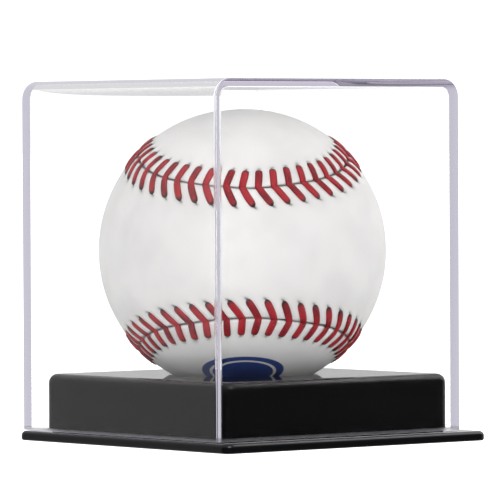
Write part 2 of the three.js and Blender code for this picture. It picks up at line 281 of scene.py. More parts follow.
def arc(reach, height, radius, start, stop, steps=8, inward=False):
    """Points of a profile on a circle, from one angle to another in degrees: reach, height and normal.

    Angle 0 looks away from the axis and 90 looks up. inward turns the normals, for a hollow fillet.
    """
    angle = np.radians(np.linspace(start, stop, steps + 1))
    way = np.c_[np.cos(angle), np.sin(angle)]
    return np.c_[np.array([reach, height]) + radius * way, -way if inward else way]


def ring_stack(half, corner, profile, side_steps=1, smallest=0.02 * MM):
    """Rounded squares, one for each profile point, with the normals of the swept surface.

    profile rows hold reach, height and the normal's outward and upward parts; the corner's centre
    stays where a square of this half width and corner radius has it.
    """
    core = half - corner
    place, way = outline(core, side_steps)
    reach = np.maximum(profile[:, 0] - core, smallest)[:, None, None]
    flat = place[None] + way[None] * reach
    height = np.broadcast_to(profile[:, 1, None, None], flat.shape[:2] + (1,))
    out = way[None] * profile[:, 2, None, None]
    up = np.broadcast_to(profile[:, 3, None, None], height.shape)
    return np.concatenate([flat, height], -1), np.concatenate([out, up], -1)


def caps(count, rings):
    """One flat face over the first ring, turned round, and one over the last."""
    first, last = np.arange(count)[::-1], np.arange(count) + (rings - 1) * count
    return [first[None], last[None]]


# ---- The ball's seam ------------------------------------------------------------------------------


class Seam:
    """The closed line between the two panels, on a ball of radius 1 in the ball's own axes.

    Its angle from the pole is a quarter turn less (a quarter turn less the waist) times cos t, and its
    longitude is t/2 plus the swing times sin 2t, with t from 0 to two turns.
    """

    SAMPLES = 4800

    def __init__(self, waist, swing, radius):
        self.waist, self.swing, self.radius = waist, swing, radius
        t = np.linspace(0, 2 * TAU, self.SAMPLES + 1)
        line = self.point(t)
        steps = np.linalg.norm(np.diff(line, axis=0), axis=1) * radius
        self.t, self.line, self.along = t, line, np.concatenate([[0], np.cumsum(steps)])
        self.length = self.along[-1]

    def point(self, t):
        polar = math.pi / 2 - (math.pi / 2 - self.waist) * np.cos(t)
        turn = t / 2 + self.swing * np.sin(2 * t)
        return np.stack([np.sin(polar) * np.cos(turn), np.sin(polar) * np.sin(turn), np.cos(polar)], -1)

    def side(self, t):
        """The way square to the seam, towards the front panel."""
        tangent = self.point(t + 1e-4) - self.point(t - 1e-4)
        way = np.cross(self.point(t), tangent)
        return way / np.linalg.norm(way, axis=-1, keepdims=True)

    def beside(self, along, aside):
        """Ways out of the ball at a distance along the seam and a distance to its side."""
        t = np.interp(np.mod(along, self.length), self.along, self.t)
        angle = (aside / self.radius)[..., None]
        return self.point(t) * np.cos(angle) + self.side(t) * np.sin(angle)

    def nearest(self, ways, block=3000):
        """Distance to the seam and distance along it, for each way out of the ball."""
        line = self.line[:-1].astype(np.float32)
        starts = range(0, len(ways), block)
        found = [np.argmax(ways[i : i + block].astype(np.float32) @ line.T, axis=1) for i in starts]
        index = np.concatenate(found)
        chord = np.linalg.norm(ways - self.line[index], axis=1)
        return 2 * np.arcsin(chord / 2) * self.radius, self.along[index]


def leans(ball, front):
    """How far the root leads the hole, on the front panel where front is true."""
    return np.where(front, ball.lean_front, ball.lean_rear)


def lean_at(ball, share, front):
    """A stitch's own lean at a share of its way from root to hole: it leaves the seam slowly."""
    return leans(ball, front) * share**1.1


def leather_height(ball, seam, aside, along, front):
    """How far the leather stands off the bare ball, at a distance from the seam and along it.

    A ridge (bell curve just short of halfway to the holes) less a groove (bell curve at the seam),
    less a trough under each stitch (a cosine along the seam that follows the stitch's lean, within
    the stitch's reach), less a dimple at each hole. Also gives the beat along the seam, which is 1 on
    a stitch and 0 midway between two.
    """
    pitch = seam.length / ball.stitches
    share = np.clip(aside / ball.stitch_reach, 0, 1.2)
    phase = (along + lean_at(ball, share, front)) / pitch - ball.stitch_phase
    beat = 0.5 + 0.5 * np.cos(TAU * phase)
    reach = ball.stitch_reach
    ridge = ball.ridge * np.exp(-(((aside - 0.45 * reach) / (0.42 * reach)) ** 2))
    groove = ball.groove * np.exp(-((aside / (0.09 * reach)) ** 2))
    trough = ball.pucker * beat * np.exp(-(((aside - 0.55 * reach) / (0.42 * reach)) ** 4))
    dimple = 1.6 * ball.pucker * beat**6 * np.exp(-(((aside - reach) / (0.13 * reach)) ** 2))
    return ridge - groove - trough - dimple, beat


def to_frame(ways, radius):
    """Points at these ways from the ball's middle, turned from its own axes into the model's."""
    return BALL_MIDDLE + (ways * np.asarray(radius)[..., None]) @ BALL_AXES


# ---- Materials ------------------------------------------------------------------------------------


def gloss_black(base):
    """Black cast acrylic, polished: near mirror gloss with faint handling haze and hairline scratches."""
    material, tree, output = new_material("Polished black acrylic")
    place = add(tree, "ShaderNodeTexCoord").outputs["Object"]
    # Haze patches about 25 mm across.
    haze = add(tree, "ShaderNodeTexNoise", inputs={"Vector": place, "Scale": 1 / (25 * MM), "Detail": 3.0})
    # Hairlines about 0.4 mm apart along one way, broken up by stretching.
    stretched = add(tree, "ShaderNodeMapping", inputs={"Vector": place, "Scale": (1.0, 0.04, 1.0)})
    hair = add(
        tree, "ShaderNodeTexNoise",
        inputs={"Vector": stretched.outputs["Vector"], "Scale": 1 / (0.4 * MM), "Detail": 2.0},
    )
    gloss = add(
        tree, "ShaderNodeMapRange",
        inputs={
            "Value": haze.outputs["Fac"], "From Min": 0.3, "From Max": 0.75, "To Min": 0.01, "To Max": 0.04,
        },
    )
    relief = add(
        tree, "ShaderNodeBump",
        inputs={"Height": hair.outputs["Fac"], "Strength": 0.02, "Distance": 0.001 * MM},
    )
    shader = add(
        tree, "ShaderNodeBsdfPrincipled",
        inputs={
            "Base Color": tuple(base.black), "IOR": 1.49,
            "Roughness": gloss.outputs["Result"], "Normal": relief.outputs["Normal"],
        },
    )
    tree.links.new(shader.outputs["BSDF"], output.inputs["Surface"])
    return material


def clear_acrylic(cover):
    """Clear acrylic: colourless through a wall, and pale lavender grey where an edge is seen end on, which
    is a painted glow given off inside the sheet.
    """
    material, tree, output = new_material("Clear acrylic")
    place = add(tree, "ShaderNodeTexCoord").outputs["Object"]
    # The very slight waviness that bending the sheet leaves, about 30 mm from crest to crest.
    wave = add(tree, "ShaderNodeTexNoise", inputs={"Vector": place, "Scale": 1 / (30 * MM), "Detail": 1.0})
    relief = add(
        tree, "ShaderNodeBump",
        inputs={"Height": wave.outputs["Fac"], "Strength": 0.02, "Distance": 0.01 * MM},
    )
    # The open edge was sawn and rubbed down, so it is frosted and shows as a pale line at the foot.
    foot = COVER_MIDDLE[2] - COVER_SIZE[2] / 2 + cover.sawn
    height = add(tree, "ShaderNodeSeparateXYZ", inputs={"Vector": place}).outputs["Z"]
    haze = add(
        tree, "ShaderNodeMapRange",
        inputs={
            "Value": height, "From Min": foot, "From Max": foot + 0.2 * MM, "To Min": 0.45, "To Max": 0.0,
        },
    ).outputs["Result"]
    # Light that is trapped inside the sheet runs on between its faces for dozens of turns. From its third
    # turn on the acrylic gives off a painted glow in the edge colour, in place of what the whole sheet
    # gathers, which makes the edges pale grey. This painted glow also stands in for the turns that a
    # renderer cuts short.
    path = add(tree, "ShaderNodeLightPath")
    painted_glow_on = maths(tree, "GREATER_THAN", path.outputs["Glossy Depth"], 2.5)
    shader = add(
        tree, "ShaderNodeBsdfPrincipled",
        inputs={
            "Base Color": (1.0, 1.0, 1.0, 1.0), "Roughness": haze, "IOR": 1.49,
            "Transmission Weight": 1.0, "Normal": relief.outputs["Normal"],
            "Emission Color": tuple(cover.painted_edge_glow), "Emission Strength": painted_glow_on,
        },
    )
    # A little colour is taken from light that runs a long way through, which the top's edges show.
    body = add(
        tree, "ShaderNodeVolumeAbsorption", inputs={"Color": tuple(cover.tint), "Density": cover.density}
    )
    tree.links.new(shader.outputs["BSDF"], output.inputs["Surface"])
    tree.links.new(body.outputs["Volume"], output.inputs["Volume"])
    return material


def cowhide(ball):
    """Alum-tanned white cowhide: soft sheen, fine pebbled grain, and painted shade: grey where the stitches
    pucker it, near black at the holes and dark along the seam.
    """
    material, tree, output = new_material("White cowhide")
    place = add(tree, "ShaderNodeTexCoord").outputs["Object"]
    seam = add(tree, "ShaderNodeAttribute", {"attribute_name": "seam"}).outputs["Fac"]
    hole = add(tree, "ShaderNodeAttribute", {"attribute_name": "hole"}).outputs["Fac"]
    painted_pucker_shade = add(tree, "ShaderNodeAttribute", {"attribute_name": "painted_pucker_shade"}).outputs["Fac"]
    # Grain cells about 0.45 mm across, in patches that fade over about 9 mm.
    grain = add(
        tree, "ShaderNodeTexVoronoi", {"feature": "DISTANCE_TO_EDGE"},
        {"Vector": place, "Scale": 1 / (0.45 * MM)},
    )
    patch = add(tree, "ShaderNodeTexNoise", inputs={"Vector": place, "Scale": 1 / (9 * MM), "Detail": 4.0})
    tone = ramp(tree, patch.outputs["Fac"], (0.35, linear("EDECEA")), (0.6, tuple(ball.white)))
    # Painted shade: grey-green where the stitches pucker the leather.
    pucker_shaded = add(
        tree, "ShaderNodeMix", {"data_type": "RGBA"},
        {0: painted_pucker_shade, 6: tone, 7: linear("A3ACA6")},
    ).outputs[2]
    inked = add(
        tree, "ShaderNodeMix", {"data_type": "RGBA"},
        {0: stamp_mask(tree, place), 6: pucker_shaded, 7: tuple(ball.stamp)},
    ).outputs[2]
    # Painted shade in the stitch holes: near black green round each hole.
    hole_shaded = add(
        tree, "ShaderNodeMix", {"data_type": "RGBA"}, {0: hole, 6: inked, 7: linear("2E3A34")}
    ).outputs[2]
    # Painted shade in the gap along the seam: a dark brown line.
    seam_shaded = add(
        tree, "ShaderNodeMix", {"data_type": "RGBA"}, {0: seam, 6: hole_shaded, 7: linear("2E2220")}
    ).outputs[2]
    relief = add(
        tree, "ShaderNodeBump",
        inputs={"Height": grain.outputs["Distance"], "Strength": 0.35, "Distance": 0.03 * MM},
    )
    gloss = add(
        tree, "ShaderNodeMapRange", inputs={"Value": patch.outputs["Fac"], "To Min": 0.42, "To Max": 0.6}
    )
    shader = add(
        tree, "ShaderNodeBsdfPrincipled",
        inputs={
            "Base Color": seam_shaded, "Roughness": gloss.outputs["Result"], "IOR": 1.45,
            "Sheen Weight": 0.04, "Normal": relief.outputs["Normal"],
        },
    )
    tree.links.new(shader.outputs["BSDF"], output.inputs["Surface"])
    return material


def stamp_mask(tree, place):
    """1 inside a plain printed oval, 20 by 15 mm, with one thin unprinted oval line inside it."""
    ahead = np.array([math.sin(STAMP_BEARING), math.cos(STAMP_BEARING), 0.0])
    out = -ahead * math.cos(STAMP_TILT) - BALL_UP * math.sin(STAMP_TILT)
    across = np.cross(ahead, BALL_UP)
    up = np.cross(out, across)
    turn = Matrix([list(across), list(up), list(out)])
    middle = turn @ Vector(-BALL_MIDDLE)
    local = add(
        tree, "ShaderNodeMapping",
        inputs={"Vector": place, "Location": middle, "Rotation": turn.to_euler()},
    )
    axes = add(tree, "ShaderNodeSeparateXYZ", inputs={"Vector": local.outputs["Vector"]})
    x = maths(tree, "MULTIPLY", axes.outputs["X"], 1 / STAMP_REACH[0])
    y = maths(tree, "MULTIPLY", axes.outputs["Y"], 1 / STAMP_REACH[1])
    both = add(tree, "ShaderNodeCombineXYZ", inputs={"X": x, "Y": y})
    reach = add(
        tree, "ShaderNodeVectorMath", {"operation": "LENGTH"}, {0: both.outputs["Vector"]}
    ).outputs["Value"]
    white, ink = grey(0.0), grey(1.0)
    oval = ramp(
        tree, reach, (0.0, ink), (0.70, ink), (0.72, white), (0.78, white), (0.80, ink), (0.97, ink),
        (1.0, white),
    )
    front = maths(tree, "GREATER_THAN", axes.outputs["Z"], 0.0)
    return maths(tree, "MULTIPLY", oval, front)


def waxed_thread(ball):
    """Red waxed cotton, two plied strands side by side: satin, with painted shade where it goes into its
    hole.
    """
    material, tree, output = new_material("Waxed cotton thread")
    strand = add(tree, "ShaderNodeUVMap", {"uv_map": "Strand"}).outputs["UV"]
    end = add(tree, "ShaderNodeAttribute", {"attribute_name": "end"}).outputs["Fac"]
    # The ply's twist, about 0.7 mm from strand to strand along the thread.
    twist = add(
        tree, "ShaderNodeTexWave", {"bands_direction": "DIAGONAL"},
        {"Vector": strand, "Scale": 1 / (0.7 * MM) / 20, "Distortion": 1.5, "Detail": 1.0},
    )
    tone = ramp(tree, twist.outputs["Fac"], (0.0, linear("8E1621")), (0.7, tuple(ball.red)))
    # Painted shade: near black green where the thread goes into its hole.
    end_shaded = add(
        tree, "ShaderNodeMix", {"data_type": "RGBA"}, {0: end, 6: tone, 7: linear("262E2A")}
    ).outputs[2]
    relief = add(
        tree, "ShaderNodeBump",
        inputs={"Height": twist.outputs["Fac"], "Strength": 0.4, "Distance": 0.05 * MM},
    )
    shader = add(
        tree, "ShaderNodeBsdfPrincipled",
        inputs={"Base Color": end_shaded, "Roughness": 0.5, "IOR": 1.5, "Normal": relief.outputs["Normal"]},
    )
    tree.links.new(shader.outputs["BSDF"], output.inputs["Surface"])
    return material


def inner_material(name, light, dark, grain, roughness, fibres=False):
    """One of the ball's hidden layers: two tones and a relief, from cells or from wound strands."""
    material, tree, output = new_material(name)
    place = add(tree, "ShaderNodeTexCoord").outputs["Object"]
    if fibres:
        # Wound strands: wavy bands a strand apart.
        pattern = add(
            tree, "ShaderNodeTexWave", {"bands_direction": "DIAGONAL"},
            {"Vector": place, "Scale": 1 / grain / 20, "Distortion": 4.0, "Detail": 3.0},
        ).outputs["Fac"]
    else:
        pattern = add(
            tree, "ShaderNodeTexVoronoi", inputs={"Vector": place, "Scale": 1 / grain}
        ).outputs["Distance"]
    tone = ramp(tree, pattern, (0.1, linear(dark)), (0.7, linear(light)))
    relief = add(
        tree, "ShaderNodeBump", inputs={"Height": pattern, "Strength": 0.5, "Distance": grain / 4}
    )
    shader = add(
        tree, "ShaderNodeBsdfPrincipled",
        inputs={"Base Color": tone, "Roughness": roughness, "Normal": relief.outputs["Normal"]},
    )
    tree.links.new(shader.outputs["BSDF"], output.inputs["Surface"])
    return material


# ---- Operators ------------------------------------------------------------------------------------


class CASE_OT_plate(bpy.types.Operator):
    """Make the black plate that everything stands on"""

    bl_idname = "case.plate"
    bl_label = "Plate"

    def execute(self, context):
        base = context.scene.case_base
        half = PLATE_SIZE[0] / 2
        low, high = PLATE_MIDDLE[2] - PLATE_SIZE[2] / 2, PLATE_MIDDLE[2] + PLATE_SIZE[2] / 2
        top, foot = base.plate_top_edge, base.plate_bottom_edge
        profile = np.concatenate([
            arc(half - foot, low + foot, foot, -90, 0, 5),
            arc(half - top, high - top, top, 0, 90, 8),
        ])
        points, normals = ring_stack(half, base.plate_corner, profile)
        points = points + [PLATE_MIDDLE[0], PLATE_MIDDLE[1], 0]
        rings, count = points.shape[:2]
        make_piece(
            "plate", "base", points.reshape(-1, 3), [skin(count, rings), *caps(count, rings)],
            gloss_black(base), ["base_plate"], normals.reshape(-1, 3),
        )
        return {"FINISHED"}


class CASE_OT_riser(bpy.types.Operator):
    """Make the hollow riser with its round seat hole"""

    bl_idname = "case.riser"
    bl_label = "Riser"

    SIDE_STEPS = 20
    SEAT_SHIFT = np.array([-0.65, 0.55]) * MM

    def execute(self, context):
        base = context.scene.case_base
        half, wall, tiny = RISER_SIZE[0] / 2, base.riser_wall, base.edge_break
        low, high = RISER_MIDDLE[2] - RISER_SIZE[2] / 2, RISER_MIDDLE[2] + RISER_SIZE[2] / 2
        edge, inner = base.riser_top_edge, base.riser_inner
        outside = np.concatenate([
            arc(half - tiny, low + tiny, tiny, -90, 0, 3),
            arc(half - edge, high - edge, edge, 0, 90, 8),
        ])
        hollow = half - wall
        inside = np.concatenate([
            arc(hollow - inner, high - wall - inner, inner, 90, 0, 5, inward=True),
            arc(hollow + tiny, low + tiny, tiny, 180, 270, 3),
        ])
        shell, shell_ways = ring_stack(half, base.riser_corner, outside, self.SIDE_STEPS)
        inner_shell, inner_ways = ring_stack(hollow, inner, inside, self.SIDE_STEPS)

        # The seat: the rim's quarter circle, the bore and the bore's lower edge, as circles whose
        # points look the same way from the hole's middle as the square's points do.
        rim = min(base.seat_rim, wall - 2 * tiny)
        seat = np.concatenate([
            arc(base.seat_radius + rim, high - rim, rim, 90, 180, 8),
            arc(base.seat_radius + tiny, high - wall + tiny, tiny, 180, 270, 3),
        ])
        around = shell[-1, :, :2] - self.SEAT_SHIFT
        way = around / np.linalg.norm(around, axis=1, keepdims=True)
        round_points = np.concatenate([
            self.SEAT_SHIFT + way[None] * seat[:, 0, None, None],
            np.broadcast_to(seat[:, 1, None, None], (len(seat), len(way), 1)),
        ], -1)
        round_ways = np.concatenate([
            way[None] * seat[:, 2, None, None],
            np.broadcast_to(seat[:, 3, None, None], (len(seat), len(way), 1)),
        ], -1)
        points = np.concatenate([shell, round_points, inner_shell]) + [RISER_MIDDLE[0], RISER_MIDDLE[1], 0]
        normals = np.concatenate([shell_ways, round_ways, inner_ways])
        rings, count = points.shape[:2]
        make_piece(
            "riser_box", "base", points.reshape(-1, 3), [skin(count, rings, loop=True)],
            gloss_black(base), ["riser"], normals.reshape(-1, 3),
        )
        return {"FINISHED"}


class CASE_OT_cover(bpy.types.Operator):
    """Make the clear cover: one sheet bent into both sides and the top, and two end plates"""

    bl_idname = "case.cover"
    bl_label = "Cover"

    BEND_STEPS = 20
    FILLET_STEPS = 6
    STRIP = 0.3 * MM  # a narrow flat beside each bend, so that the wide flats stay flat

    def execute(self, context):
        cover = context.scene.case_cover
        half, wall, bend = COVER_SIZE[0] / 2, cover.wall, cover.bend
        low, high = COVER_MIDDLE[2] - COVER_SIZE[2] / 2, COVER_MIDDLE[2] + COVER_SIZE[2] / 2
        hollow = half - wall
        outer = self.profile(half, low, high, bend + wall)
        # The hollow shrinks towards each end plate by a quarter circle, which leaves the fillet.
        turns = np.radians(np.linspace(0, 90, self.FILLET_STEPS + 1))
        inset, back = cover.fillet * (1 - np.sin(turns)), cover.fillet * (1 - np.cos(turns))
        fillet = [
            (hollow - away, self.profile(hollow - step, low, high - wall - step, bend - step)[::-1])
            for step, away in zip(inset, back)
        ]
        reach = hollow - cover.fillet
        across = len(outer)
        foot = np.c_[np.linspace(-reach, reach, across), np.full(across, low)]
        stations = [(-half, foot), (-hollow, foot)]
        stations += [(-along, lower) for along, lower in fillet] + fillet[::-1]
        stations += [(hollow, foot), (half, foot)]
        rings = []
        for along, lower in stations:
            flat = np.concatenate([outer, lower])
            rings.append(np.c_[flat[:, 0], np.full(len(flat), along), flat[:, 1]])
        points = np.concatenate(rings) + [COVER_MIDDLE[0], COVER_MIDDLE[1], 0]
        count = len(rings[0])
        piece = make_piece(
            "cover_shell", "cover", points, [skin(count, len(rings)), *caps(count, len(rings))],
            clear_acrylic(cover), ["clear_cover"],
        )
        self.close(piece.data)
        edges = piece.modifiers.new("Polished edges", "BEVEL")
        edges.width, edges.segments = cover.edge_break, 3
        edges.limit_method, edges.angle_limit = "ANGLE", math.radians(50)
        flats = piece.modifiers.new("Flat walls", "WEIGHTED_NORMAL")
        flats.mode, flats.weight, flats.keep_sharp = "FACE_AREA", 100, True
        return {"FINISHED"}

    def profile(self, half, low, high, radius):
        """The sheet's outline seen from the end: up one side, round a bend, along the top and down.

        Each bend is a quarter circle with a narrow strip of flat at both of its ends.
        """
        angle = np.radians(np.linspace(0, 90, self.BEND_STEPS + 1))
        bend = np.c_[half - radius + radius * np.cos(angle), high - radius + radius * np.sin(angle)]
        before = [[half, low], [half, high - radius - self.STRIP]]
        after = [[half - radius - self.STRIP, high]]
        right = np.concatenate([before, bend, after])
        return np.concatenate([right, right[::-1] * [-1, 1]])

    def close(self, mesh):
        """Joins the rings' doubled points and turns every face outwards."""
        shape = bmesh.new()
        shape.from_mesh(mesh)
        bmesh.ops.remove_doubles(shape, verts=shape.verts, dist=1e-7)
        bmesh.ops.recalc_face_normals(shape, faces=shape.faces)
        for face in shape.faces:
            face.smooth = True
        shape.to_mesh(mesh)
        shape.free()
        mesh.set_sharp_from_angle(angle=math.radians(30))


class CASE_OT_leather(bpy.types.Operator):
    """Make the two interlocking leather panels"""

    bl_idname = "case.leather"
    bl_label = "Leather"

    ROWS = 440
    OUTER_COLUMNS = 112
    INNER_COLUMNS = 16

    def execute(self, context):
        ball = context.scene.case_ball
        radius = BALL_SIZE[2] / 2
        seam = Seam(ball.waist, ball.swing, radius)
        material = cowhide(ball)
        ways, faces = self.panel(seam, ball.seam_gap / 2 / radius)
        # The second panel is the first with its axes exchanged: x, y, z become -y, x, -z.
        swapped = np.stack([-ways[:, 1], ways[:, 0], -ways[:, 2]], -1)
        for name, node, out, front in (
            ("front_panel", "leather_panel_a", ways, True),
            ("rear_panel", "leather_panel_b", swapped, False),
        ):
            outer = self.outer_points()
            aside, along = seam.nearest(out[outer])
            height, beat = leather_height(ball, seam, aside, along, front)
            depth = np.full(len(out), radius - ball.leather)
            depth[outer] = radius + height
            layers = {key: np.zeros(len(out)) for key in ("seam", "hole", "painted_pucker_shade")}
            # Painted shade in the seam's gap, within about a quarter millimetre of it.
            layers["seam"][outer] = np.exp(-((aside / (0.27 * MM)) ** 2))
            reach = ball.stitch_reach
            # Painted shade in each stitch hole, strongest on a stitch's beat.
            layers["hole"][outer] = 0.9 * beat**10 * np.exp(-(((aside - reach) / (0.4 * MM)) ** 2))
            # Painted shade where the stitches pucker the leather, widest three quarters of the way out to
            # the holes.
            pucker_shaded = np.exp(-(((aside - 0.75 * reach) / (2.4 * MM)) ** 2))
            layers["painted_pucker_shade"][outer] = 0.22 * beat**0.7 * pucker_shaded
            turned = faces if front else [group[:, ::-1] for group in faces]
            make_piece(
                name, "ball", to_frame(out, depth), turned, material, [node], layers=layers
            )
        return {"FINISHED"}

    def outer_points(self):
        """True for the points on the outside of the leather."""
        ring = np.arange(self.OUTER_COLUMNS + self.INNER_COLUMNS + 2) <= self.OUTER_COLUMNS
        return np.concatenate([np.tile(ring, self.ROWS - 1), [True, False, True, False]])

    def panel(self, seam, inset):
        """Ways out of the ball for the front panel's closed shell, and its faces.

        The panel's edge is the seam moved in by half the gap. Each row holds one turn about the
        ball's own first axis, from the edge on one side to the edge on the other, then back along
        the inside. The rows close in on one outer and one inner point at each end.
        """
        t = np.linspace(-math.pi, math.pi, self.ROWS + 1)
        edge = seam.point(t) * math.cos(inset) + seam.side(t) * math.sin(inset)
        turn, half = np.arctan2(edge[:, 1], edge[:, 2]), np.abs(np.arcsin(edge[:, 0]))

        def columns(count):
            even = np.linspace(-1, 1, count + 1)
            return 0.45 * even + 0.55 * np.sin(even * math.pi / 2)

        across = np.concatenate([columns(self.OUTER_COLUMNS), columns(self.INNER_COLUMNS)[::-1]])
        angle = half[1:-1, None] * across[None]
        turns = np.broadcast_to(turn[1:-1, None], angle.shape)
        ways = np.stack([np.sin(angle), np.cos(angle) * np.sin(turns), np.cos(angle) * np.cos(turns)], -1)
        rows, count = ways.shape[:2]
        tip = np.stack([np.zeros(2), np.sin(turn[[0, -1]]), np.cos(turn[[0, -1]])], -1)
        points = np.concatenate([ways.reshape(-1, 3), np.repeat(tip, 2, axis=0)])
        return points, [skin(count, rows), *self.tips(count, rows)]

    def tips(self, count, rows):
        """Faces from the first and last row to their outer and inner points."""
        outer, inner = np.arange(self.OUTER_COLUMNS), np.arange(self.OUTER_COLUMNS + 1, count - 1)
        groups = []
        for row, tip, last in ((0, rows * count, False), ((rows - 1) * count, rows * count + 2, True)):
            triangles = np.concatenate([
                np.stack([np.full(outer.size, tip), row + outer + 1, row + outer], -1),
                np.stack([np.full(inner.size, tip + 1), row + inner + 1, row + inner], -1),
            ])
            ends = np.array([
                [tip, tip + 1, row + self.OUTER_COLUMNS + 1, row + self.OUTER_COLUMNS],
                [tip + 1, tip, row, row + count - 1],
            ])
            groups += [group[:, ::-1] if last else group for group in (triangles, ends)]
        return groups


class CASE_OT_stitches(bpy.types.Operator):
    """Make the red stitches, one pointed leg on each side of the seam at every step"""

    bl_idname = "case.stitches"
    bl_label = "Stitches"

    RINGS = 12
    AROUND = 6

    def execute(self, context):
        ball = context.scene.case_ball
        radius = BALL_SIZE[2] / 2
        seam = Seam(ball.waist, ball.swing, radius)
        pitch = seam.length / ball.stitches
        root = (np.arange(ball.stitches) + ball.stitch_phase) * pitch
        legs = [self.legs(ball, seam, root, side) for side in (1, -1)]
        points = np.concatenate([leg[0] for leg in legs])
        total = len(points)
        ring = skin(self.AROUND, self.RINGS)
        ends = np.concatenate(caps(self.AROUND, self.RINGS))
        start = np.arange(total)[:, None, None] * self.RINGS * self.AROUND
        faces = [(start + ring[None]).reshape(-1, 4), (start + ends[None]).reshape(-1, self.AROUND)]
        make_piece(
            "stitches", "ball", points.reshape(-1, 3), faces, waxed_thread(ball), ["seam_thread"],
            layers={"end": np.concatenate([leg[1] for leg in legs]).ravel()},
            uv=np.concatenate([leg[2] for leg in legs]).reshape(-1, 2),
        )
        return {"FINISHED"}

    def legs(self, ball, seam, root, side):
        """Points, end shading and strand coordinates of every leg on one side of the seam.

        A leg runs from just past the seam to its hole, trailing its root by the lean. Its section is
        an ellipse; its half width swells from the root, is widest past the middle and closes at the
        hole; its middle bridges the seam's groove, rides on the leather and dips into it at the hole.
        """
        front = side > 0
        share = np.linspace(0, 1, self.RINGS)
        aside = (-0.25 * MM + share * (ball.stitch_reach + 0.25 * MM)) * np.ones((root.size, 1))
        along = root[:, None] - lean_at(ball, share, front)[None]
        height, _ = leather_height(ball, seam, np.abs(aside), along, front)
        height = np.maximum(height, -0.1 * MM)
        rise = 0.22 * MM - 0.75 * MM * np.clip(2 * share - 1, 0, 1) ** 12
        way = seam.beside(along, side * aside)
        middle = way * (seam.radius + height + rise)[..., None]
        run = np.gradient(middle, axis=1)
        across = np.cross(run, way)
        across /= np.linalg.norm(across, axis=-1, keepdims=True)
        swell = 0.92 + 0.08 * np.sin(math.pi * share)
        half_width = ball.stitch_width / 2 * swell * (1 - 0.5 * np.clip((share - 0.8) / 0.2, 0, 1) ** 1.5)
        half_height = ball.stitch_height / 2 * (1 - 0.3 * np.abs(2 * share - 1) ** 4)
        angle = np.arange(self.AROUND) * TAU / self.AROUND * -side
        sweep = across[:, :, None] * (np.cos(angle)[None, :] * half_width[:, None])[None, ..., None]
        lift = way[:, :, None] * (np.sin(angle)[None, :] * half_height[:, None])[None, ..., None]
        local = middle[:, :, None] + sweep + lift
        points = BALL_MIDDLE + local @ BALL_AXES
        # Share of the painted shade at the hole, over the last fifth of the leg.
        end = np.clip((share - 0.8) / 0.14, 0, 1) * np.ones((root.size, self.AROUND, 1))
        distance = share * ball.stitch_reach
        flat = np.stack(np.broadcast_arrays(
            distance[None, :, None] + root[:, None, None],
            (np.cos(angle) * ball.stitch_width / 2)[None, None],
        ), -1)
        return points, end.transpose(0, 2, 1), flat


class CASE_OT_core(bpy.types.Operator):
    """Give the ball's hidden layers their materials"""

    bl_idname = "case.core"
    bl_label = "Ball core"

    def execute(self, context):
        cork = inner_material("Composition cork", "C79A68", "7C5433", 1.6 * MM, 0.9)
        black_rubber = inner_material("Moulded black rubber", "2A2A2B", "161617", 0.5 * MM, 0.7)
        red_rubber = inner_material("Moulded red rubber", "A4453A", "7E2E25", 0.5 * MM, 0.65)
        grey_wool = inner_material("Grey wool winding", "9B9A96", "6E6D69", 1.1 * MM, 0.95, fibres=True)
        white_yarn = inner_material("White cotton winding", "ECE8DC", "BDB8A8", 0.5 * MM, 0.9, fibres=True)
        wanted = {
            "cork_centre": cork, "rubber_cup_upper": black_rubber, "rubber_cup_lower": black_rubber,
            "rubber_washer": red_rubber, "rubber_jacket": red_rubber, "first_winding": grey_wool,
            "second_winding": white_yarn, "third_winding": grey_wool, "finish_winding": white_yarn,
        }
        for node, material in wanted.items():
            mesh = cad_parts[node].data
            mesh.materials.clear()
            mesh.materials.append(material)
        return {"FINISHED"}


